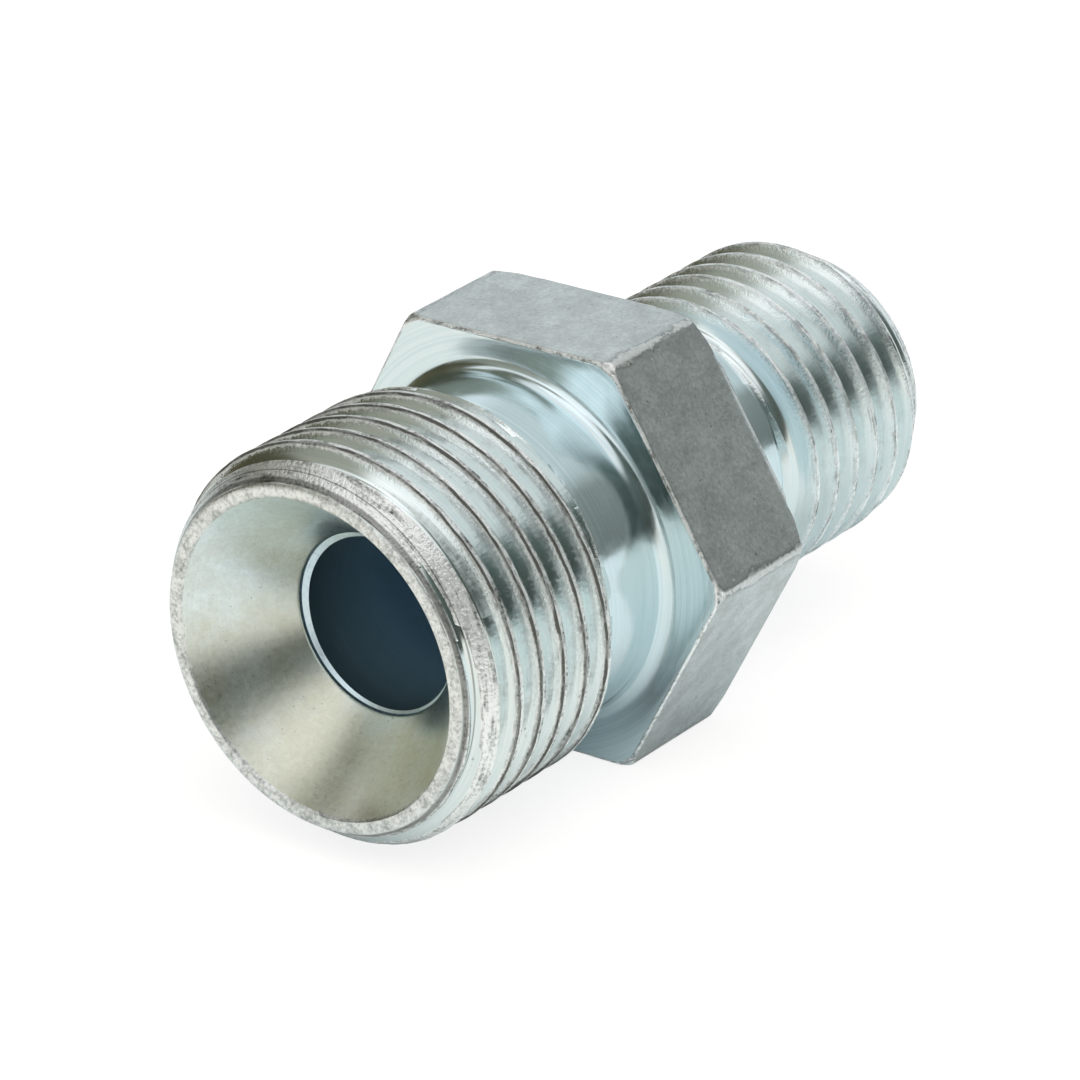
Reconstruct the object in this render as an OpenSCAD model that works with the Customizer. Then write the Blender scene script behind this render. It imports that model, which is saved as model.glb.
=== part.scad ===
// Reducing adapter for hydraulic lines, turned from one piece of hexagon bar.
// A large and a small external thread stand on either side of a hexagon, with a
// relief groove at the foot of each thread, a conical seat in each end and one bore.
// The axis lies along X, the large end points to -X and one flat lies on z = 0.
// Axial places are measured from the face of the large end.

/* [Hexagon] */
// Width across the flats
hex_af = 19; // [18.6:0.1:22]
// Length of the hexagon
hex_len = 6.5; // [5:0.1:10]
// Radius at which the chamfer starts on the face toward the large end
hex_front_r = 10.6; // [10.2:0.05:10.7]
// Angle of that chamfer from the face
hex_front_angle = 45; // [20:1:50]
// Radius at which the chamfer starts on the face toward the small end
hex_rear_r = 9.85; // [9.6:0.05:10.6]
// Angle of that chamfer from the face
hex_rear_angle = 30; // [15:1:45]

/* [Large end] */
// Outer diameter of the large thread
large_d = 18; // [17:0.1:18.6]
// Pitch of the large thread
large_pitch = 1.5; // [1.25:0.25:2]
// Length from the large end's face to the hexagon
large_len = 14; // [12:0.1:20]
// Diameter of the flat ring at the large end's face
large_face_d = 15.7; // [15:0.1:16.2]
// Length of the chamfer in front of the large thread
large_chamfer = 1.6; // [0.8:0.1:2.5]
// Diameter of the relief groove behind the large thread
large_groove_d = 15.8; // [14:0.1:16]
// Width of that groove along the axis
large_groove_w = 4.6; // [3.5:0.1:5.5]
// Angle round the axis at which the large thread starts
large_start = 156; // [0:1:360]
// Diameter of the large conical seat at the end face
large_seat_d = 14.6; // [13:0.1:14.8]

/* [Small end] */
// Outer diameter of the small thread
small_d = 14; // [13:0.1:16]
// Pitch of the small thread
small_pitch = 1.5; // [1:0.25:1.5]
// Length from the hexagon to the small end's face
small_len = 15.5; // [13:0.1:20]
// Diameter of the flat ring at the small end's face
small_face_d = 11.4; // [11:0.1:11.8]
// Length of the chamfer in front of the small thread
small_chamfer = 2.2; // [0.8:0.1:2.5]
// Diameter of the relief groove behind the small thread
small_groove_d = 12; // [11:0.1:12]
// Width of that groove along the axis
small_groove_w = 5.4; // [4:0.1:6]
// Angle round the axis at which the small thread starts
small_start = 195; // [0:1:360]
// Diameter of the small conical seat at the end face
small_seat_d = 10.6; // [9.5:0.1:10.8]

/* [Bore and seats] */
// Diameter of the bore that runs through
bore_d = 7.6; // [5:0.1:7.8]
// Full angle of the conical seats
seat_angle = 74; // [60:1:90]
// Diameter of the small step at the foot of each seat
step_d = 8.3; // [7.9:0.1:9]
// Depth of that step
step_depth = 0.15; // [0.05:0.05:0.5]
// Full angle of the drill point below the step
drill_angle = 118; // [90:1:140]

/* [Grooves] */
// Fillet where each groove runs into the hexagon
groove_fillet = 0.7; // [0.3:0.1:1.2]
// Axial run of the sloping side under the last thread
groove_slope = 0.6; // [0.2:0.1:1.2]

/* [Hidden] */

total_len = large_len + hex_len + small_len;
hex_end = large_len + hex_len;
hex_middle = large_len + hex_len / 2;
hex_corner_d = hex_af / cos(30);
corner_clear = 0.2;                       // how far outside the corners a chamfering cut starts
hex_outer_r = hex_corner_d / 2 + corner_clear;
large_groove_start = large_len - large_groove_w;
small_groove_end = hex_end + small_groove_w;

// Form of a metric thread, as shares of its pitch
crest_share = 1 / 8;
root_share = 1 / 6;
flank_angle = 30;
large_thread_depth = (1 - crest_share - root_share) * large_pitch / 2 / tan(flank_angle);
small_thread_depth = (1 - crest_share - root_share) * small_pitch / 2 / tan(flank_angle);
thread_steps = 36;                        // facets in one turn of a thread
thread_clear = 0.1;                       // how far the thread cutter stands outside the crest
over = 1;                                 // cutters run this far past the end faces
fillet_steps = 8;
$fn = 96;

// Points of a fillet that leaves the groove's floor and ends on the hexagon's face.
// side is 1 where the hexagon lies beyond the groove and -1 where it lies before it.
function fillet_points(floor_r, face_z, side) = [
    for (i = [0:fillet_steps])
        let (a = 90 * i / fillet_steps)
        [floor_r + groove_fillet * (1 - cos(a)), face_z - side * groove_fillet * (1 - sin(a))]
];

// Turned outline from the large end to the small end, as radius and axial place.
module shank() {
    large_fillet = fillet_points(large_groove_d / 2, large_len, 1);
    small_fillet = fillet_points(small_groove_d / 2, hex_end, -1);
    rotate_extrude()
        polygon(concat(
            [
                [0, 0],
                [large_face_d / 2, 0],
                [large_d / 2, large_chamfer],
                [large_d / 2, large_groove_start],
                [large_groove_d / 2, large_groove_start + groove_slope]
            ],
            large_fillet,
            [
                [large_groove_d / 2 + groove_fillet, hex_middle],
                [small_groove_d / 2 + groove_fillet, hex_middle]
            ],
            [for (i = [fillet_steps:-1:0]) small_fillet[i]],
            [
                [small_groove_d / 2, small_groove_end - groove_slope],
                [small_d / 2, small_groove_end],
                [small_d / 2, total_len - small_chamfer],
                [small_face_d / 2, total_len],
                [0, total_len]
            ]
        ));
}

// Hexagon bar with its corners turned back at both faces.
module hexagon() {
    front_rise = (hex_outer_r - hex_front_r) * tan(hex_front_angle);
    rear_rise = (hex_outer_r - hex_rear_r) * tan(hex_rear_angle);
    intersection() {
        translate([0, 0, large_len])
            rotate([0, 0, 30])
                cylinder(h = hex_len, d = hex_corner_d, $fn = 6);
        rotate_extrude()
            polygon([
                [0, large_len],
                [hex_front_r, large_len],
                [hex_outer_r, large_len + front_rise],
                [hex_outer_r, hex_end - rear_rise],
                [hex_rear_r, hex_end],
                [0, hex_end]
            ]);
    }
}

// Bore with a conical seat, a small step and a drill point at each end.
module bore() {
    half = seat_angle / 2;
    point_len = (step_d - bore_d) / 2 / tan(drill_angle / 2);
    large_depth = (large_seat_d - step_d) / 2 / tan(half);
    small_depth = (small_seat_d - step_d) / 2 / tan(half);
    large_step = large_depth + step_depth;
    small_step = small_depth + step_depth;
    rotate_extrude()
        polygon([
            [0, -over],
            [large_seat_d / 2 + over * tan(half), -over],
            [step_d / 2, large_depth],
            [step_d / 2, large_step],
            [bore_d / 2, large_step + point_len],
            [bore_d / 2, total_len - small_step - point_len],
            [step_d / 2, total_len - small_step],
            [step_d / 2, total_len - small_depth],
            [small_seat_d / 2 + over * tan(half), total_len + over],
            [0, total_len + over]
        ]);
}

// Cutter for one right-hand thread: the space between two crests, swept along a helix.
// It passes through zero_z at the angle start, and is cut from z_from to z_to.
module thread_cutter(d, pitch, depth, zero_z, start, z_from, z_to) {
    root_r = d / 2 - depth;
    outer_r = d / 2 + thread_clear;
    root_half = root_share * pitch / 2;
    outer_half = root_half + (outer_r - root_r) * tan(flank_angle);
    corners = [
        [root_r, -root_half], [root_r, root_half],
        [outer_r, outer_half], [outer_r, -outer_half]
    ];
    first = floor((z_from - zero_z) / pitch * thread_steps);
    last = ceil((z_to - zero_z) / pitch * thread_steps);
    rings = last - first;
    points = [
        for (i = [first:last], c = corners)
            let (a = start + 360 * i / thread_steps)
            [c[0] * cos(a), c[0] * sin(a), zero_z + pitch * i / thread_steps + c[1]]
    ];
    sides = [
        for (i = [0:rings - 1], k = [0:3])
            let (p = 4 * i + k, q = 4 * i + (k + 1) % 4)
            each [[p, p + 4, q + 4], [p, q + 4, q]]
    ];
    ends = [
        [0, 1, 2], [0, 2, 3],
        [4 * rings + 2, 4 * rings + 1, 4 * rings], [4 * rings + 3, 4 * rings + 2, 4 * rings]
    ];
    polyhedron(points = points, faces = concat(sides, ends), convexity = 10);
}

// The whole adapter, lying on one flat with its middle over the origin.
module adapter_body() {
    color([0.72, 0.76, 0.77])
        translate([-total_len / 2, 0, hex_af / 2])
            rotate([0, 90, 0])
                difference() {
                    union() {
                        shank();
                        hexagon();
                    }
                    bore();
                    thread_cutter(large_d, large_pitch, large_thread_depth, 0, large_start,
                        -over, large_groove_start + groove_slope + large_pitch / 2);
                    thread_cutter(small_d, small_pitch, small_thread_depth, total_len, small_start,
                        small_groove_end - groove_slope - small_pitch / 2, total_len + over);
                }
}

adapter_body();
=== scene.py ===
import math

import bpy
import numpy as np
from mathutils import Matrix, Vector


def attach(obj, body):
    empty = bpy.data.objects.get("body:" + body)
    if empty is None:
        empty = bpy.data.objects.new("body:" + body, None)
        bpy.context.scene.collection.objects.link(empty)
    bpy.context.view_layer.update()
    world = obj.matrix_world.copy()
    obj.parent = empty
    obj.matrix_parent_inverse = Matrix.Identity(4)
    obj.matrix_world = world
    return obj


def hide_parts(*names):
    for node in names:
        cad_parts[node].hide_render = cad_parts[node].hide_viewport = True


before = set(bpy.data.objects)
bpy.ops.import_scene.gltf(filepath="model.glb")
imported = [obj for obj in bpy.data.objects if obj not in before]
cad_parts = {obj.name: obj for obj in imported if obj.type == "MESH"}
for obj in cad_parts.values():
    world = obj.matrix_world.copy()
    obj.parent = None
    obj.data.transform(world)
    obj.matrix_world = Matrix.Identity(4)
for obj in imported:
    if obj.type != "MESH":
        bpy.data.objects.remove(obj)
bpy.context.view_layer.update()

# The bore, drilled through the whole length: bare steel with a dull, dark blue skin. The
# adapter is turned from one hexagon bar, so every section adds rings of points to one
# mesh, at places in mm along the axis from the large end's face.
MM = 0.001
LENGTH = 36.0
AXIS_HEIGHT = 9.5               # above the flat that it lies on
BORE_R = 3.8
BIG_SEAT_R, SMALL_SEAT_R = 7.3, 5.3
SEAT_HALF = math.radians(37)    # half the angle of the seats
STEP_R, STEP_DEPTH = 4.15, 0.15     # the step at the foot of each seat
STEP_FLOOR_R = 4.13
DRILL_SLOPE = 0.6               # depth gained by the drill's point for each mm of radius
BIG_FOOT = (BIG_SEAT_R - STEP_R) / math.tan(SEAT_HALF)
SMALL_FOOT = LENGTH - (SMALL_SEAT_R - STEP_R) / math.tan(SEAT_HALF)

# Columns of points every 1.2 degrees round the axis, and more near the hexagon's corners.
steps = np.arange(300) * 1.2
near_corner = np.array([-0.9, -0.6, -0.3, 0.3, 0.6, 0.9])
turn = np.sort(np.concatenate([steps] + [(c + near_corner) % 360 for c in range(0, 360, 60)]))
turn_rad = np.radians(turn)
AROUND = len(turn)
# For each point: how far it is rubbed, and how much painted shade it gets along a crest's edge.
points, worn, crest_edge_shades, faces, face_finish, finishes = [], [], [], [], [], []


def add_ring(x, r, wear=0.0):
    """Adds a ring of points at places x and radii r, and returns their numbers."""
    x, r, wear = (np.broadcast_to(v, AROUND) for v in (x, r, wear))
    first = len(points)
    for along, radius, a, w in zip(x, r, turn_rad, wear):
        points.append(((along - LENGTH / 2) * MM, radius * math.cos(a) * MM,
                       (AXIS_HEIGHT + radius * math.sin(a)) * MM))
        worn.append(float(w))
        crest_edge_shades.append(0.0)
    return np.arange(first, first + AROUND)


def join_rings(a, b, finish):
    """Closes the strip between two rings. Going from a to b, the outside lies to the left."""
    for i in range(AROUND):
        k = (i + 1) % AROUND
        faces.append((a[i], a[k], b[k], b[i]))
        face_finish.append(finish)


def lathe(outline, finish, start=None, wear=0.0):
    """Joins rings through an outline of (x, r) pairs, and returns the last ring."""
    ring = start
    for x, r in outline:
        new = add_ring(x, r, wear)
        if ring is not None:
            join_rings(ring, new, finish)
        ring = new
    return ring


def to_linear(text):
    """A hex sRGB colour as linear RGBA."""
    parts = [int(text[i:i + 2], 16) / 255 for i in (1, 3, 5)]
    return [p / 12.92 if p <= 0.04045 else ((p + 0.055) / 1.055) ** 2.4 for p in parts] + [1.0]


def set_inputs(tree, node, inputs):
    """Sets a node's inputs to values, or links them to other nodes."""
    for name, value in inputs.items():
        if isinstance(value, bpy.types.Node):
            value = value.outputs[0]
        if isinstance(value, bpy.types.NodeSocket):
            tree.links.new(value, node.inputs[name])
        else:
            node.inputs[name].default_value = value


def add_node(tree, kind, inputs=None, **settings):
    """Adds a node with its settings and its inputs."""
    node = tree.nodes.new(kind)
    for name, value in settings.items():
        setattr(node, name, value)
    set_inputs(tree, node, inputs or {})
    return node


def new_finish(name):
    """A new finish: its nodes, its shader, and its number in the mesh."""
    material = bpy.data.materials.new(name)
    material.use_nodes = True
    finishes.append(material)
    tree = material.node_tree
    return tree, tree.nodes["Principled BSDF"], len(finishes) - 1


def place_in_mm(tree):
    """A point's place in mm, measured from the middle of the adapter's axis."""
    coordinate = add_node(tree, "ShaderNodeTexCoord")
    return add_node(tree, "ShaderNodeVectorMath",
                    {0: coordinate.outputs["Object"], 1: (1000, 1000, 1000), 2: (0, 0, -AXIS_HEIGHT)},
                    operation="MULTIPLY_ADD")


def tool_marks(tree, per_mm, round_scale, detail=3.0):
    """Streaks that run round the axis, as a cutting or rolling tool leaves them."""
    place = place_in_mm(tree)
    out = add_node(tree, "ShaderNodeVectorMath", {0: place, 1: (0, 1, 1)}, operation="MULTIPLY")
    radius = add_node(tree, "ShaderNodeVectorMath", {0: out}, operation="LENGTH").outputs["Value"]
    circle = add_node(tree, "ShaderNodeVectorMath", {0: out}, operation="NORMALIZE")
    circle = add_node(tree, "ShaderNodeVectorMath", {0: circle, 1: (0, round_scale, round_scale)},
                      operation="MULTIPLY")
    grain = add_node(tree, "ShaderNodeVectorMath", {0: place, 1: (per_mm, 0, 0), 2: circle},
                     operation="MULTIPLY_ADD")
    depth = add_node(tree, "ShaderNodeMath", {0: radius, 1: per_mm}, operation="MULTIPLY")
    return add_node(tree, "ShaderNodeTexNoise",
                    {"Vector": grain, "W": depth, "Scale": 1.0, "Detail": detail, "Roughness": 0.6},
                    noise_dimensions="4D")


# Drilled steel under a blue skin, with painted shade that darkens it toward the large end's mouth:
# dull, so that it shows no image, only a soft fall of light. Drill marks are 0.15 mm apart.
tree, shader, BORE = new_finish("drilled_steel_blue_skin")
marks = tool_marks(tree, 6.0, 1.5)
along = add_node(tree, "ShaderNodeSeparateXYZ", {0: place_in_mm(tree)})
# Painted shade: the colour darkens toward the large end's mouth, from 9 mm to 4.6 mm from its face.
inside = add_node(tree, "ShaderNodeMapRange",
                  {"Value": along, "From Min": 4.6 - LENGTH / 2, "From Max": 9.0 - LENGTH / 2})
inside = add_node(tree, "ShaderNodeMath", {0: marks, 1: 0.15, 2: inside}, operation="MULTIPLY_ADD")
colour = add_node(tree, "ShaderNodeMix", {0: inside, 6: to_linear("#33494f"), 7: to_linear("#8db2c6")},
                  data_type="RGBA").outputs[2]
bump = add_node(tree, "ShaderNodeBump", {"Strength": 0.5, "Distance": 0.00001, "Height": marks})
set_inputs(tree, shader, {"Base Color": colour, "Metallic": 0.6, "Roughness": 0.6, "Normal": bump})

# The drill ran a little out of centre, so the ring round its mouth is wider on one side.
WIDENED = 0.14                  # by how much the drill's mouth is wider than the bore
OFF_CENTRE, OFF_TOWARD = 0.08, math.radians(225)
drilled_r = BORE_R + WIDENED + OFF_CENTRE * np.cos(turn_rad - OFF_TOWARD)
bore_start = add_ring(BIG_FOOT + STEP_DEPTH + DRILL_SLOPE * (STEP_FLOOR_R - drilled_r), drilled_r)

# The large end's conical seat, bored to 74 degrees for the nose of a hose or tube end,
# with a small step at its foot where the drill point begins. The plating is thin here.

# Fine-turned steel under matt zinc: satin, with rings too fine to see one by one that
# spread a highlight across the cone. It is faintly cloudy, with a painted reflection that makes
# it bluer above and creamier below, and it has a few pits and a bright step at the foot.
tree, shader, SEAT = new_finish("satin_zinc_on_bored_steel")
place = place_in_mm(tree)
marks = tool_marks(tree, 12.0, 1.6)
clouds = add_node(tree, "ShaderNodeTexNoise",
                  {"Vector": place, "Scale": 0.35, "Detail": 3.0, "Roughness": 0.65})
# Painted reflection: the colour is graded bluer above the axis and creamier below it.
height = add_node(tree, "ShaderNodeSeparateXYZ", {0: place}).outputs["Z"]
clouds = add_node(tree, "ShaderNodeMath", {0: height, 1: -0.06, 2: clouds}, operation="MULTIPLY_ADD")
clouds = add_node(tree, "ShaderNodeMapRange", {"Value": clouds, "From Min": 0.15, "From Max": 0.85})
grit = add_node(tree, "ShaderNodeTexNoise",
                {"Vector": place, "Scale": 4.0, "Detail": 3.0, "Roughness": 0.75})
colour = add_node(tree, "ShaderNodeMix", {0: clouds, 6: to_linear("#e9f4f8"), 7: to_linear("#cfd0c0")},
                  data_type="RGBA").outputs[2]
out = add_node(tree, "ShaderNodeVectorMath", {0: place, 1: (0, 1, 1)}, operation="MULTIPLY")
out = add_node(tree, "ShaderNodeVectorMath", {0: out}, operation="LENGTH").outputs["Value"]
foot = add_node(tree, "ShaderNodeMapRange",
                {"Value": out, "From Min": STEP_R + 0.02, "From Max": STEP_R - 0.02})
colour = add_node(tree, "ShaderNodeMix",
                  {0: foot, 6: colour, 7: to_linear("#cfe0e8")}, data_type="RGBA").outputs[2]
pits = add_node(tree, "ShaderNodeTexNoise",
                {"Vector": place, "Scale": 7.0, "Detail": 2.0, "Roughness": 0.5})
deep = add_node(tree, "ShaderNodeMapRange", {"Value": pits, "From Min": 0.24, "From Max": 0.3,
                                             "To Min": 0.55, "To Max": 1.0})
shade = add_node(tree, "ShaderNodeMath", {0: grit, 1: 0.5, 2: 0.68}, operation="MULTIPLY_ADD")
shade = add_node(tree, "ShaderNodeMath", {0: marks, 1: 0.14, 2: shade}, operation="MULTIPLY_ADD")
shade = add_node(tree, "ShaderNodeMath", {0: shade, 1: deep}, operation="MULTIPLY")
colour = add_node(tree, "ShaderNodeVectorMath", {0: colour, "Scale": shade}, operation="SCALE")
rough = add_node(tree, "ShaderNodeMapRange", {"Value": grit, "To Min": 0.23, "To Max": 0.36})
bump = add_node(tree, "ShaderNodeBump", {"Strength": 0.5, "Distance": 0.00001, "Height": grit})
tangent = add_node(tree, "ShaderNodeTangent", direction_type="RADIAL", axis="X")
set_inputs(tree, shader, {"Base Color": colour, "Metallic": 1.0, "Roughness": rough, "Normal": bump,
                          "Anisotropic": 0.5, "Tangent": tangent})

big_cone = [(x, BIG_SEAT_R - x * math.tan(SEAT_HALF)) for x in np.linspace(BIG_FOOT - 0.1, 0.12, 4)]
big_seat = lathe([(BIG_FOOT + STEP_DEPTH, STEP_FLOOR_R), (BIG_FOOT + 0.02, STEP_R),
                  (BIG_FOOT - 0.03, STEP_R + 0.02)] + big_cone, SEAT, bore_start)

# The turned ring at the large end's face. Its zinc is thick and rough, knocked and rubbed
# in handling, with a thin lip toward the seat.

# Rough zinc on a turned edge: pale grey, lumpy, with darker steel in the hollows, which
# glints along its lumps.
tree, shader, RIM = new_finish("rough_zinc_on_end_face")
place = place_in_mm(tree)
grit = add_node(tree, "ShaderNodeTexNoise",
                {"Vector": place, "Scale": 5.0, "Detail": 4.0, "Roughness": 0.7})
lumps = add_node(tree, "ShaderNodeTexNoise",
                 {"Vector": place, "Scale": 1.6, "Detail": 3.0, "Roughness": 0.6})
both = add_node(tree, "ShaderNodeMath", {0: lumps, 1: 0.7, 2: grit}, operation="MULTIPLY_ADD")
pale = add_node(tree, "ShaderNodeMapRange", {"Value": both, "From Min": 0.62, "From Max": 0.95})
colour = add_node(tree, "ShaderNodeMix", {0: pale, 6: to_linear("#979a98"), 7: to_linear("#e8eae8")},
                  data_type="RGBA").outputs[2]
bump = add_node(tree, "ShaderNodeBump", {"Strength": 0.8, "Distance": 0.00002, "Height": both})
set_inputs(tree, shader, {"Base Color": colour, "Metallic": 1.0, "Roughness": 0.32, "Normal": bump})

big_rim = lathe([(0.05, 7.27), (0.01, 7.33), (0.03, 7.4), (0.0, 7.48), (0.0, 7.68), (0.03, 7.8),
                 (0.08, 7.9)], RIM, big_seat)

# The large end's thread, M18 x 1.5, rolled: right-handed, with a chamfered start. The
# rollers leave a seam along the middle of each crest, and small burrs on its edges.
PITCH = 1.5
DEPTH = 0.92                    # from crest to root
CREST = 0.105                   # half the width of a crest
ROOT_START = 0.5                # where the straight flank turns into the rounded root
SLOPE = 1 / math.tan(math.radians(30))
SEAM_HALF, SEAM_DEPTH = 0.02, 0.035
WORN_DEPTH, BURR_DEPTH = 0.42, 0.05     # how far below a crest the wear and the burrs reach
CHAMFER_WEAR, SHOULDER_WEAR = 1.35, 0.75
NEAR_EDGE, FAR_EDGE = [1.35, 1.4], [0.1, 0.15]      # the rows along the two edges of a crest
GROOVE_SHADE_LINE = 0.63             # painted shade: a dark line standing for a fine groove round the chamfer, where the rollers began
CORNER_SHADE_LINE = 0.22              # painted shade: a dark ring at the chamfer's edge, in the concave corner by the face ring


def smooth_noise(count, spread, seed):
    """Repeatable noise round a closed ring, smoothed over spread samples, about -1 to 1."""
    raw = np.random.default_rng(seed).standard_normal(count)
    reach = int(3 * spread) + 1
    kernel = np.exp(-0.5 * (np.arange(-reach, reach + 1) / spread) ** 2)
    kernel /= np.sqrt((kernel ** 2).sum())
    return np.convolve(np.concatenate([raw[-reach:], raw, raw[:reach]]), kernel, "valid") / 2


def thread(ring_a, x_a, ring_b, x_b, major, crest_x, crest_angle, blank, rows, seed, rubbing):
    """A right-handed helical strip between two plain rings. Its rows of points follow the
    helix, and rows that would leave the thread end on the rings. blank(x) is the radius
    that the bar was turned to before rolling, rubbing how far the crests are worn."""
    rows = np.array(rows)
    first = math.floor((x_a - crest_x) / PITCH) - 2
    last = math.ceil((x_b - crest_x) / PITCH) + 2
    turns = np.arange(first, last + 1)
    along = (crest_x + PITCH * (turns[:, None, None] + (turn - crest_angle)[None, :, None] / 360)
             + rows[None, None, :])
    u = np.abs((rows + PITCH / 2) % PITCH - PITCH / 2)
    flank = np.maximum(u - CREST, 0) * SLOPE
    root = DEPTH - np.maximum(PITCH / 2 - u, 0) ** 2 * SLOPE / (2 * (PITCH / 2 - ROOT_START))
    depth = np.where(u < ROOT_START, flank, root)
    length = len(turns) * AROUND
    jag = smooth_noise(length, 1.0, seed).reshape(len(turns), AROUND, 1)
    lump = smooth_noise(length, 2.5, seed + 1).reshape(len(turns), AROUND, 1)
    crest = np.clip(1 - depth / WORN_DEPTH, 0, 1)
    edge = np.clip(1 - depth / BURR_DEPTH, 0, 1) * rubbing ** 2
    side = np.sign((rows + PITCH / 2) % PITCH - PITCH / 2)
    along = along + (0.028 * jag * side + 0.012 * lump) * edge
    seam = np.where(u < SEAM_HALF, SEAM_DEPTH, 0.0)
    radius = major - depth - seam * rubbing - edge * (0.006 + 0.014 * np.abs(jag) + 0.014 * np.abs(lump))
    plain = blank(along)
    bare = radius >= plain
    chamfer = bare & ((along < 2) | (along > LENGTH - 3))
    shoulder = bare & (plain < major - 0.02)
    wear = np.where(chamfer, CHAMFER_WEAR, np.where(shoulder, SHOULDER_WEAR, crest)) * rubbing
    # Painted shade: the rows along a crest's edges get a dark line, full on one side and half on the
    # other.
    crest_edge_shade = (np.isin(rows, NEAR_EDGE) + 0.5 * np.isin(rows, FAR_EDGE)) * ~bare * rubbing ** 2
    radius = np.minimum(radius, plain)
    number = np.empty(along.shape, int)
    low, high = along <= x_a + 0.01, along >= x_b - 0.01
    inside = ~(low | high)
    columns = np.broadcast_to(np.arange(AROUND)[None, :, None], along.shape)
    number[low] = ring_a[columns[low]]
    number[high] = ring_b[columns[high]]
    number[inside] = np.arange(len(points), len(points) + inside.sum())
    angle = np.broadcast_to(turn_rad[None, :, None], along.shape)[inside]
    x, r = along[inside], radius[inside]
    points.extend(zip(((x - LENGTH / 2) * MM).tolist(), (r * np.cos(angle) * MM).tolist(),
                      ((AXIS_HEIGHT + r * np.sin(angle)) * MM).tolist()))
    worn.extend(wear[inside].tolist())
    crest_edge_shades.extend(crest_edge_shade[inside].tolist())
    strip = number.reshape(length, len(rows))
    for i in range(length - 1):
        for m in range(len(rows)):
            if m + 1 < len(rows):
                c, d = strip[i + 1, m + 1], strip[i, m + 1]
            elif i + 1 + AROUND < length:
                c, d = strip[i + 1 + AROUND, 0], strip[i + AROUND, 0]
            else:
                continue
            corners = [strip[i, m], strip[i + 1, m], c, d]
            corners = [p for k, p in enumerate(corners) if p != corners[k - 1]]
            if len(set(corners)) >= 3:
                faces.append(tuple(corners))
                face_finish.append(THREAD)


# Rolled steel under clear blue zinc: flanks burnished bright by the rollers, with faint
# streaks along them. On the crests and the chamfer the plating is rubbed through to a
# torn grey surface, whose burrs glint. Painted shade draws a dark, ragged line along the
# sides of each crest, stronger on one side, for the shade in a crevice there.
tree, shader, THREAD = new_finish("clear_zinc_on_rolled_thread")
place = place_in_mm(tree)
along = add_node(tree, "ShaderNodeSeparateXYZ", {0: place})
streaks = tool_marks(tree, 12.0, 1.6, 2.0)
tears = tool_marks(tree, 3.0, 6.0, 2.0)
grit = add_node(tree, "ShaderNodeTexNoise",
                {"Vector": place, "Scale": 6.0, "Detail": 3.0, "Roughness": 0.72})
lumps = add_node(tree, "ShaderNodeTexNoise",
                 {"Vector": place, "Scale": 1.6, "Detail": 1.0, "Roughness": 0.5})
wear = add_node(tree, "ShaderNodeAttribute", attribute_name="wear")
crest_edge_shade = add_node(tree, "ShaderNodeAttribute", attribute_name="crest_edge_shade")
both = add_node(tree, "ShaderNodeMath", {0: lumps, 1: 0.4, 2: -0.6}, operation="MULTIPLY_ADD")
both = add_node(tree, "ShaderNodeMath", {0: grit, 1: 0.8, 2: both}, operation="MULTIPLY_ADD")
rubbed = add_node(tree, "ShaderNodeMath", {0: wear.outputs["Fac"], 1: both}, operation="ADD")
rubbed = add_node(tree, "ShaderNodeMapRange", {"Value": rubbed, "From Min": 0.38, "From Max": 0.62})
# Painted shade: a dark, ragged line in the crevice along each crest's edge.
crevice_shade = add_node(tree, "ShaderNodeMath",
                   {0: tears, 1: 2.4, 2: crest_edge_shade.outputs["Fac"]}, operation="MULTIPLY_ADD")
crevice_shade = add_node(tree, "ShaderNodeMath", {0: grit, 1: 1.5, 2: crevice_shade}, operation="MULTIPLY_ADD")
crevice_shade = add_node(tree, "ShaderNodeMapRange",
                   {"Value": crevice_shade, "From Min": 2.5, "From Max": 3.0, "To Max": 0.9})
# Painted shade: a thin dark line round the chamfer, for the shade in a fine groove that is not modelled.
groove_shade = add_node(tree, "ShaderNodeMath",
                   {0: along, 1: GROOVE_SHADE_LINE - LENGTH / 2, 2: 0.025}, operation="COMPARE")
# Painted shade: a dark band round the concave corner between the face ring and the chamfer.
turned = add_node(tree, "ShaderNodeMath", {0: along, 1: LENGTH / 2 - CORNER_SHADE_LINE}, operation="ADD")
turned = add_node(tree, "ShaderNodeMath", {0: turned}, operation="ABSOLUTE")
turned = add_node(tree, "ShaderNodeMapRange",
                  {"Value": turned, "From Min": 0.15, "From Max": 0.08, "To Max": 0.65})
dark = add_node(tree, "ShaderNodeMath", {0: groove_shade, 1: 0.55, 2: turned}, operation="MULTIPLY_ADD")
dark = add_node(tree, "ShaderNodeMath", {0: dark, 1: crevice_shade}, operation="MAXIMUM")
polished = add_node(tree, "ShaderNodeMath",
                    {0: wear.outputs["Fac"], 1: 0.5, 2: -0.5}, operation="MULTIPLY_ADD",
                    use_clamp=True)
drawn = add_node(tree, "ShaderNodeMath", {0: streaks, 1: 0.8, 2: -0.4}, operation="MULTIPLY_ADD")
pale = add_node(tree, "ShaderNodeMath", {0: grit, 1: drawn}, operation="ADD")
pale = add_node(tree, "ShaderNodeMath", {0: polished, 1: 0.4, 2: pale}, operation="MULTIPLY_ADD")
pale = add_node(tree, "ShaderNodeMath", {0: tears, 1: 1.1, 2: pale}, operation="MULTIPLY_ADD")
pale = add_node(tree, "ShaderNodeMapRange", {"Value": pale, "From Min": 0.72, "From Max": 1.16})
bare = add_node(tree, "ShaderNodeMix", {0: pale, 6: to_linear("#636663"), 7: to_linear("#fafbfa")},
                data_type="RGBA").outputs[2]
bright = add_node(tree, "ShaderNodeMix", {0: streaks, 6: to_linear("#ccdada"), 7: to_linear("#f2f6f6")},
                  data_type="RGBA").outputs[2]
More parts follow.
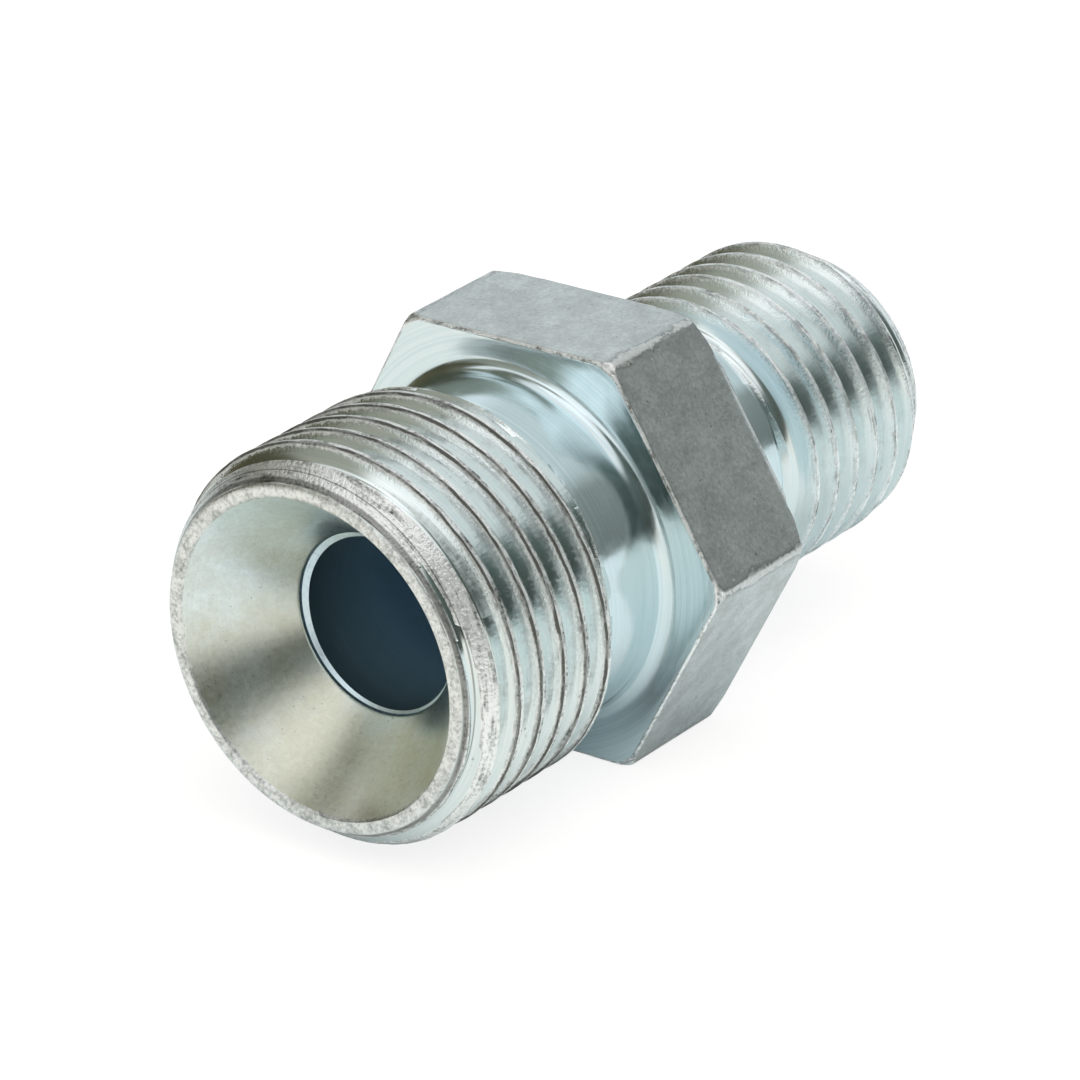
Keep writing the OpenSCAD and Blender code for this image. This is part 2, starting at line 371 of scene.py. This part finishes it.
colour = add_node(tree, "ShaderNodeMix", {0: rubbed, 6: bright, 7: bare}, data_type="RGBA").outputs[2]
# Painted shade: the groove line, the corner band and the crest lines darken the colour here.
colour = add_node(tree, "ShaderNodeMix", {0: dark, 6: colour, 7: to_linear("#4b4a42")},
                  data_type="RGBA").outputs[2]
dull = add_node(tree, "ShaderNodeMapRange", {"Value": along, "From Min": 2.0, "From Max": 8.0,
                                             "To Min": 0.13, "To Max": 0.2})
torn = add_node(tree, "ShaderNodeMath", {0: polished, 1: -1.2, 2: 0.5}, operation="MULTIPLY_ADD")
rough = add_node(tree, "ShaderNodeMapRange", {"Value": rubbed, "To Min": dull, "To Max": torn})
height = add_node(tree, "ShaderNodeMath", {0: grit, 1: wear.outputs["Fac"]}, operation="MULTIPLY")
bump = add_node(tree, "ShaderNodeBump", {"Strength": 1.0, "Distance": 0.00005, "Height": height})
set_inputs(tree, shader, {"Base Color": colour, "Metallic": 1.0, "Roughness": rough, "Normal": bump})


LARGE_R, LARGE_GROOVE_R = 9.0, 7.9
LARGE_CREST_X, LARGE_CREST_ANGLE = 1.21, 176.35     # a place that the first crest passes
# Places of the rows of points over one pitch, from the middle of a crest.
LARGE_ROWS = [0, 0.05, 0.1, 0.15, 0.21, 0.5, 0.6, 0.7, 0.8, 0.9, 1.0, 1.1, 1.2, 1.29, 1.35, 1.4, 1.45]


def large_blank(x):
    """The chamfer, the plain length and the round-nosed slope into the relief groove."""
    return np.interp(x, [0, 0.08, 1.6, 9.3, 9.45, 9.6, 9.75, 9.9, 10.0],
                     [7.85, 7.9, LARGE_R, LARGE_R, 8.93, 8.7, 8.3, 8, LARGE_GROOVE_R])


large_end_ring = add_ring(10.02, LARGE_GROOVE_R)
thread(big_rim, 0.08, large_end_ring, 10.02, LARGE_R, LARGE_CREST_X, LARGE_CREST_ANGLE, large_blank,
       LARGE_ROWS, seed=11, rubbing=1.0)

# The relief groove behind the large thread, turned with a round-nosed tool that also left
# the fillet at the hexagon's face.

# Turned steel under clear blue zinc: bright and bluish, with rings from the tool 0.1 mm
# apart that draw reflections out round the axis.
tree, shader, TURNED = new_finish("clear_zinc_on_turned_steel")
place = place_in_mm(tree)
marks = tool_marks(tree, 16.0, 0.35, 3.0)
clouds = add_node(tree, "ShaderNodeTexNoise",
                  {"Vector": place, "Scale": 1.2, "Detail": 2.0, "Roughness": 0.6})
pale = add_node(tree, "ShaderNodeMapRange", {"Value": marks, "From Min": 0.2, "From Max": 0.8})
colour = add_node(tree, "ShaderNodeMix", {0: pale, 6: to_linear("#c4d9de"), 7: to_linear("#e8f0f2")},
                  data_type="RGBA").outputs[2]
rough = add_node(tree, "ShaderNodeMapRange", {"Value": clouds, "From Min": 0.35, "From Max": 0.7,
                                              "To Min": 0.11, "To Max": 0.2})
bump = add_node(tree, "ShaderNodeBump", {"Strength": 0.5, "Distance": 0.000003, "Height": marks})
tangent = add_node(tree, "ShaderNodeTangent", direction_type="RADIAL", axis="X")
set_inputs(tree, shader, {"Base Color": colour, "Metallic": 1.0, "Roughness": rough, "Normal": bump,
                          "Anisotropic": 0.4, "Tangent": tangent})


def fillet(x_face, r_floor, side, size=0.7, count=7):
    """Outline of the fillet from a groove's floor to the hexagon's face."""
    a = np.linspace(0, math.pi / 2, count)
    return [(x_face - side * size * (1 - math.sin(t)), r_floor + size * (1 - math.cos(t))) for t in a]


HEX_START, HEX_END = 14.0, 20.5
ring = lathe([(10.5, LARGE_GROOVE_R), (12.0, LARGE_GROOVE_R)] + fillet(HEX_START, LARGE_GROOVE_R, 1),
             TURNED, large_end_ring)

# The hexagon: six flats of the bar as it was drawn, 19 mm across, with the corners turned
# back at both faces and a small bevel on the rear edges.
FLAT = 9.5                      # half the width across the flats
CORNER_ROUND = 0.45             # wear on the edges between two flats
CORNER_R = (FLAT - CORNER_ROUND) / math.cos(math.radians(30))
FRONT_CUT_R, REAR_CUT_R = 10.6, 9.85    # where the turning of the corners starts on each face
REAR_BEVEL = 0.3                # along the axis
LARGE_FILLET_R, SMALL_FILLET_R = 8.6, 6.7   # where the grooves' fillets end on the faces
off = np.radians(np.abs((turn + 30) % 60 - 30))
out_of_line = CORNER_R * np.sin(off)
hex_r = np.where(out_of_line < CORNER_ROUND * 0.5,
                 CORNER_R * np.cos(off) + np.sqrt(np.maximum(CORNER_ROUND ** 2 - out_of_line ** 2, 0)),
                 FLAT / np.cos(math.radians(30) - off))
from_corner = FLAT * (math.tan(math.radians(30)) - np.tan(math.radians(30) - off))
corner_wear = np.clip(1 - from_corner / 1.2, 0, 1)
dents = smooth_noise(AROUND, 1.2, 51)

# Cold-drawn bar under clear zinc: matt grey, mottled, with small pits and pale specks.
# The edges between the flats are knocked and rubbed to a pale, uneven band.
tree, shader, BAR = new_finish("clear_zinc_on_drawn_bar")
place = place_in_mm(tree)
mottle = add_node(tree, "ShaderNodeTexNoise",
                  {"Vector": place, "Scale": 0.8, "Detail": 4.0, "Roughness": 0.62})
grit = add_node(tree, "ShaderNodeTexNoise",
                {"Vector": place, "Scale": 5.5, "Detail": 3.0, "Roughness": 0.7})
tone = add_node(tree, "ShaderNodeMapRange", {"Value": mottle, "From Min": 0.35, "From Max": 0.68})
colour = add_node(tree, "ShaderNodeMix", {0: tone, 6: to_linear("#b9bcba"), 7: to_linear("#d0d3d2")},
                  data_type="RGBA").outputs[2]
pits = add_node(tree, "ShaderNodeTexNoise",
                {"Vector": place, "Scale": 4.5, "Detail": 2.0, "Roughness": 0.5})
deep = add_node(tree, "ShaderNodeMapRange", {"Value": pits, "From Min": 0.25, "From Max": 0.32,
                                             "To Min": 0.6, "To Max": 1.0})
shade = add_node(tree, "ShaderNodeMath", {0: grit, 1: 0.8, 2: 0.6}, operation="MULTIPLY_ADD")
shade = add_node(tree, "ShaderNodeMath", {0: shade, 1: deep}, operation="MULTIPLY")
colour = add_node(tree, "ShaderNodeVectorMath", {0: colour, "Scale": shade}, operation="SCALE")
speck = add_node(tree, "ShaderNodeMapRange", {"Value": pits, "From Min": 0.7, "From Max": 0.76})
colour = add_node(tree, "ShaderNodeMix", {0: speck, 6: colour, 7: to_linear("#e4e6e4")},
                  data_type="RGBA").outputs[2]
wear = add_node(tree, "ShaderNodeAttribute", attribute_name="wear")
ragged = add_node(tree, "ShaderNodeMath", {0: mottle, 1: 1.1, 2: -0.8}, operation="MULTIPLY_ADD")
ragged = add_node(tree, "ShaderNodeMath", {0: grit, 1: 0.5, 2: ragged}, operation="MULTIPLY_ADD")
ragged = add_node(tree, "ShaderNodeMath", {0: wear.outputs["Fac"], 1: ragged}, operation="ADD")
rubbed = add_node(tree, "ShaderNodeMapRange", {"Value": ragged, "From Min": 0.76, "From Max": 0.86})
line = add_node(tree, "ShaderNodeMapRange", {"Value": ragged, "From Min": 0.66, "From Max": 0.75,
                                             "To Min": 1.0, "To Max": 0.62})
colour = add_node(tree, "ShaderNodeVectorMath", {0: colour, "Scale": line}, operation="SCALE")
pale = add_node(tree, "ShaderNodeMix", {0: grit, 6: to_linear("#a8a8a5"), 7: to_linear("#efefed")},
                data_type="RGBA").outputs[2]
colour = add_node(tree, "ShaderNodeMix", {0: rubbed, 6: colour, 7: pale}, data_type="RGBA").outputs[2]
rough = add_node(tree, "ShaderNodeMapRange", {"Value": grit, "To Min": 0.3, "To Max": 0.46})
bump = add_node(tree, "ShaderNodeBump", {"Strength": 0.6, "Distance": 0.00002, "Height": grit})
set_inputs(tree, shader, {"Base Color": colour, "Metallic": 1.0, "Roughness": rough, "Normal": bump})


def between(a, b, t):
    """What lies a share t of the way from a to b."""
    return a + (b - a) * t


front_r = np.minimum(FRONT_CUT_R, hex_r - 0.09 - 0.02 * np.abs(dents))
front_x = HEX_START + np.maximum(hex_r - FRONT_CUT_R, 0.11 + 0.03 * np.abs(dents))
rear_r = np.minimum(REAR_CUT_R, hex_r - 0.14)
rear_x = HEX_END - np.maximum((hex_r - REAR_CUT_R) * math.tan(math.radians(30)), REAR_BEVEL)
for t in (0.33, 0.66, 0.95):
    new = add_ring(HEX_START, between(LARGE_FILLET_R, front_r, t))
    join_rings(ring, new, TURNED)
    ring = new
for x, r in [(HEX_START + 0.01, front_r),
             (between(HEX_START, front_x, 0.5), between(front_r, hex_r, 0.55)),
             (front_x, hex_r - 0.01)]:
    new = add_ring(x, r, 1.2)
    join_rings(ring, new, THREAD)
    ring = new
for t in (0.02, 0.35, 0.65, 0.98):
    new = add_ring(between(front_x, rear_x, t), hex_r, corner_wear)
    join_rings(ring, new, BAR)
    ring = new
for x, r in [(rear_x, hex_r - 0.005),
             (between(rear_x, HEX_END, 0.5), between(hex_r, rear_r, 0.5)),
             (HEX_END - 0.02, rear_r + 0.01), (HEX_END, rear_r - 0.02)]:
    new = add_ring(x, r, 0.85)
    join_rings(ring, new, BAR)
    ring = new
for t in (0.1, 0.5, 0.98):
    new = add_ring(HEX_END, between(rear_r - 0.02, SMALL_FILLET_R, t))
    join_rings(ring, new, TURNED)
    ring = new

# The small end: its relief groove, the M14 x 1.5 thread rolled as the large one, the ring
# at its face and its seat.
SMALL_R, SMALL_GROOVE_R = 7.0, 6.0
SMALL_CREST_X, SMALL_CREST_ANGLE = 26.53, 172.35    # a place that the first crest passes
SMALL_ROWS = [0, 0.05, 0.1, 0.16, 0.5, 0.62, 0.75, 0.88, 1.0, 1.12, 1.24, 1.34, 1.4, 1.45]


def small_blank(x):
    """The slope out of the relief groove, the plain length and the chamfer."""
    return np.interp(x, [25.3, 25.4, 25.55, 25.7, 25.85, 26, 33.8, 35.9, 36],
                     [SMALL_GROOVE_R, 6.1, 6.4, 6.75, 6.93, SMALL_R, SMALL_R, 5.75, 5.7])


groove = fillet(HEX_END, SMALL_GROOVE_R, -1)[::-1] + [(x, SMALL_GROOVE_R) for x in (22.5, 25.0, 25.28)]
ring = lathe(groove, TURNED, ring)
small_end_ring = add_ring(35.92, 5.74, 1.0)
thread(ring, 25.28, small_end_ring, 35.92, SMALL_R, SMALL_CREST_X, SMALL_CREST_ANGLE, small_blank,
       SMALL_ROWS, seed=31, rubbing=0.6)
ring = lathe([(35.97, 5.68), (36.0, 5.6), (36.0, 5.4), (35.98, 5.34), (35.95, 5.28)], RIM, small_end_ring)
small_cone = [(LENGTH - x, SMALL_SEAT_R - x * math.tan(SEAT_HALF))
              for x in np.linspace(0.12, LENGTH - SMALL_FOOT - 0.06, 3)]
ring = lathe(small_cone + [(SMALL_FOOT - 0.02, STEP_R), (SMALL_FOOT - STEP_DEPTH, STEP_FLOOR_R),
                           (SMALL_FOOT - 0.33, 3.83), (SMALL_FOOT - 0.36, BORE_R)], SEAT, ring)
ring = lathe([(28, BORE_R), (20, BORE_R), (12, BORE_R)], BORE, ring)
join_rings(ring, bore_start, BORE)

# The finished adapter, one piece of steel, in the place of the CAD model's solid. Where
# its surface turns by more than 38 degrees, the edge stays sharp.
mesh = bpy.data.meshes.new("adapter")
mesh.from_pydata(points, [], faces)
mesh.polygons.foreach_set("material_index", np.array(face_finish, np.int32))
mesh.attributes.new("wear", "FLOAT", "POINT").data.foreach_set("value", worn)
mesh.attributes.new("crest_edge_shade", "FLOAT", "POINT").data.foreach_set("value", crest_edge_shades)
mesh.shade_smooth()
mesh.set_sharp_from_angle(angle=math.radians(38))
for material in finishes:
    mesh.materials.append(material)
adapter = bpy.data.objects.new("adapter", mesh)
bpy.context.scene.collection.objects.link(adapter)
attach(adapter, "root")
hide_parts("adapter_body")

# The studio: a white table under a white sky, one large soft lamp overhead, and dark and
# warm parts of the room that only show as reflections in the metal.
table_mesh = bpy.data.meshes.new("table")
TABLE_HALF, TABLE_Z = 2, -0.00005
corners = [(x * TABLE_HALF, y * TABLE_HALF, TABLE_Z) for x, y in ((-1, -1), (1, -1), (1, 1), (-1, 1))]
table_mesh.from_pydata(corners, [], [(0, 1, 2, 3)])
table = bpy.data.objects.new("table", table_mesh)
bpy.context.scene.collection.objects.link(table)
material = bpy.data.materials.new("white_table")
material.use_nodes = True
tree = material.node_tree
tree.nodes.clear()
path = add_node(tree, "ShaderNodeLightPath")
glossy = path.outputs["Is Glossy Ray"]
seen = add_node(tree, "ShaderNodeMath",
                {0: path.outputs["Is Camera Ray"], 1: path.outputs["Is Transmission Ray"]},
                operation="MAXIMUM")
glow = add_node(tree, "ShaderNodeMath", {0: glossy, 1: 0.03}, operation="MULTIPLY")
glow = add_node(tree, "ShaderNodeMath", {0: seen, 1: 0.82, 2: glow}, operation="MULTIPLY_ADD")
place = add_node(tree, "ShaderNodeTexCoord").outputs["Object"]
place = add_node(tree, "ShaderNodeSeparateXYZ", {0: place})
# For glossy rays the table has a painted reflection tint for its shade: near neutral in front of the
# large end, and bluer from the adapter's middle toward the small end and beyond.
tint = add_node(tree, "ShaderNodeMapRange", {"Value": place, "From Min": -0.035, "From Max": 0.0})
tint = add_node(tree, "ShaderNodeMix", {0: tint, 6: to_linear("#f3f6f5"), 7: to_linear("#eaf6fc")},
                data_type="RGBA").outputs[2]
tint = add_node(tree, "ShaderNodeMix",
                {0: glossy, 6: (0.25, 0.25, 0.25, 1), 7: tint}, data_type="RGBA").outputs[2]
white = add_node(tree, "ShaderNodeEmission", {"Strength": glow})
paint = add_node(tree, "ShaderNodeBsdfDiffuse", {"Color": tint})
both = add_node(tree, "ShaderNodeAddShader", {0: white, 1: paint})
add_node(tree, "ShaderNodeOutputMaterial", {"Surface": both})
table_mesh.materials.append(material)

world = bpy.data.worlds.new("studio")
bpy.context.scene.world = world
world.use_nodes = True
tree = world.node_tree
path = add_node(tree, "ShaderNodeLightPath")
seen = add_node(tree, "ShaderNodeMath",
                {0: path.outputs["Is Camera Ray"], 1: path.outputs["Is Transmission Ray"]},
                operation="MAXIMUM")
colour = add_node(tree, "ShaderNodeMix",
                  {0: seen, 6: (0.62, 0.61, 0.6, 1), 7: (1, 1, 1, 1)}, data_type="RGBA")
set_inputs(tree, tree.nodes["Background"], {"Color": colour.outputs[2], "Strength": 1.0})
world.cycles_visibility.glossy = False

MIDDLE = Vector((0, 0, AXIS_HEIGHT * MM))


def toward(azimuth, elevation, distance):
    """The place at a distance from the adapter's middle, in a direction given in degrees."""
    a, e = math.radians(azimuth), math.radians(elevation)
    return MIDDLE + distance * Vector((math.cos(e) * math.cos(a), math.cos(e) * math.sin(a), math.sin(e)))


light = bpy.data.lights.new("overhead", "AREA")
light.shape = "RECTANGLE"
light.size, light.size_y = 0.9, 0.9
light.energy = 5.6
light.color = to_linear("#fff8ee")[:3]
overhead = bpy.data.objects.new("overhead", light)
overhead.location = toward(235, 66, 0.9)
overhead.rotation_euler = (overhead.location - MIDDLE).to_track_quat("Z", "Y").to_euler()
overhead.visible_glossy = False
bpy.context.scene.collection.objects.link(overhead)


# The room as the metal reflects it: white, with soft-edged grey, warm and cool parts.
ROOM_R = 0.8
heights = np.concatenate([[-1.5], np.arange(0, 88, 3.0), [89.9]])
azimuth, elevation = np.meshgrid(np.arange(0, 360, 4.0), heights)
room_colour = np.ones(azimuth.shape + (3,))


def soft_step(value, soft):
    """0 well below zero, 1 well above it, with a smooth rise of width soft between."""
    t = np.clip(value / soft + 0.5, 0, 1)
    return t * t * (3 - 2 * t)


def hang(azimuths, elevations, low_colour, high_colour, soft=8.0, level=1.0):
    """Hangs a soft-edged part into the room, between two azimuths and two heights in
    degrees, graded from the colour of its lower edge to that of its upper one."""
    off = np.abs((azimuth - sum(azimuths) / 2 + 180) % 360 - 180)
    cover = (soft_step((azimuths[1] - azimuths[0]) / 2 - off, soft)
             * soft_step(elevation - elevations[0], soft) * soft_step(elevations[1] - elevation, soft))
    grade = np.clip((elevation - elevations[0]) / (elevations[1] - elevations[0]), 0, 1)[..., None]
    low, high = (np.array(to_linear(c)[:3]) for c in (low_colour, high_colour))
    shade = (low * (1 - grade) + high * grade) * level
    room_colour[:] += cover[..., None] * (shade - room_colour)


hang((138, 236), (54, 84), "#ffffff", "#ffffff", level=1.3)
hang((-40, 60), (32, 64), "#d2dcdc", "#e4edec")
hang((-40, 60), (-12, 34), "#e2f0f9", "#f4fafd")
hang((62, 138), (44, 64), "#6c6f62", "#767a6c")
hang((138, 172), (49, 60), "#7f8275", "#8a8d80")
hang((62, 100), (30, 46), "#7f8275", "#8a8d80")
hang((154, 187), (-12, 47), "#dfe2df", "#ffffff", level=1.35)
hang((62, 147), (-12, 33), "#3a3827", "#605d4b")
hang((130, 158), (-4, 36), "#8a887c", "#adafa3")
hang((94, 112), (-12, 12), "#554a2d", "#635c3f")
hang((298, 336), (-12, 34), "#6a706c", "#959c98")
hang((190, 300), (-12, 40), "#2e2d28", "#65716c")
rings, spokes = azimuth.shape
corners = [toward(a, e, ROOM_R) for a, e in zip(azimuth.ravel(), elevation.ravel())]
quads = [(j * spokes + k, j * spokes + (k + 1) % spokes,
          (j + 1) * spokes + (k + 1) % spokes, (j + 1) * spokes + k)
         for j in range(rings - 1) for k in range(spokes)]
data = bpy.data.meshes.new("room")
data.from_pydata(corners, [], quads)
shade = np.concatenate([room_colour.reshape(-1, 3), np.ones((rings * spokes, 1))], 1)
data.attributes.new("shade", "FLOAT_COLOR", "POINT").data.foreach_set("color", shade.ravel())
room = bpy.data.objects.new("room", data)
bpy.context.scene.collection.objects.link(room)
room.visible_camera = room.visible_diffuse = room.visible_shadow = room.visible_transmission = False
material = bpy.data.materials.new("room_light")
material.use_nodes = True
tree = material.node_tree
tree.nodes.clear()
shade = add_node(tree, "ShaderNodeAttribute", attribute_name="shade")
glow = add_node(tree, "ShaderNodeEmission", {"Color": shade.outputs["Color"], "Strength": 1.0})
add_node(tree, "ShaderNodeOutputMaterial", {"Surface": glow})
data.materials.append(material)

# The camera, where the photograph was taken from: far off with a long lens, above the
# large end and to one side of it, and leaning a little.
CAMERA_PLACE = Vector((-207.89, -166.49, 128.84)) * MM
AIM = Vector((-1.382, 0.887, 8.363)) * MM
LEAN = math.radians(-3.095)
lens = bpy.data.cameras.new("camera")
lens.sensor_width = 36
lens.lens = 222.68
lens.clip_start, lens.clip_end = 0.01, 10
camera = bpy.data.objects.new("camera", lens)
level = (CAMERA_PLACE - AIM).to_track_quat("Z", "Y").to_matrix().to_4x4()
camera.matrix_world = Matrix.Translation(CAMERA_PLACE) @ level @ Matrix.Rotation(LEAN, 4, "Z")
bpy.context.scene.collection.objects.link(camera)
bpy.context.scene.camera = camera
bpy.context.scene.view_settings.view_transform = "Standard"
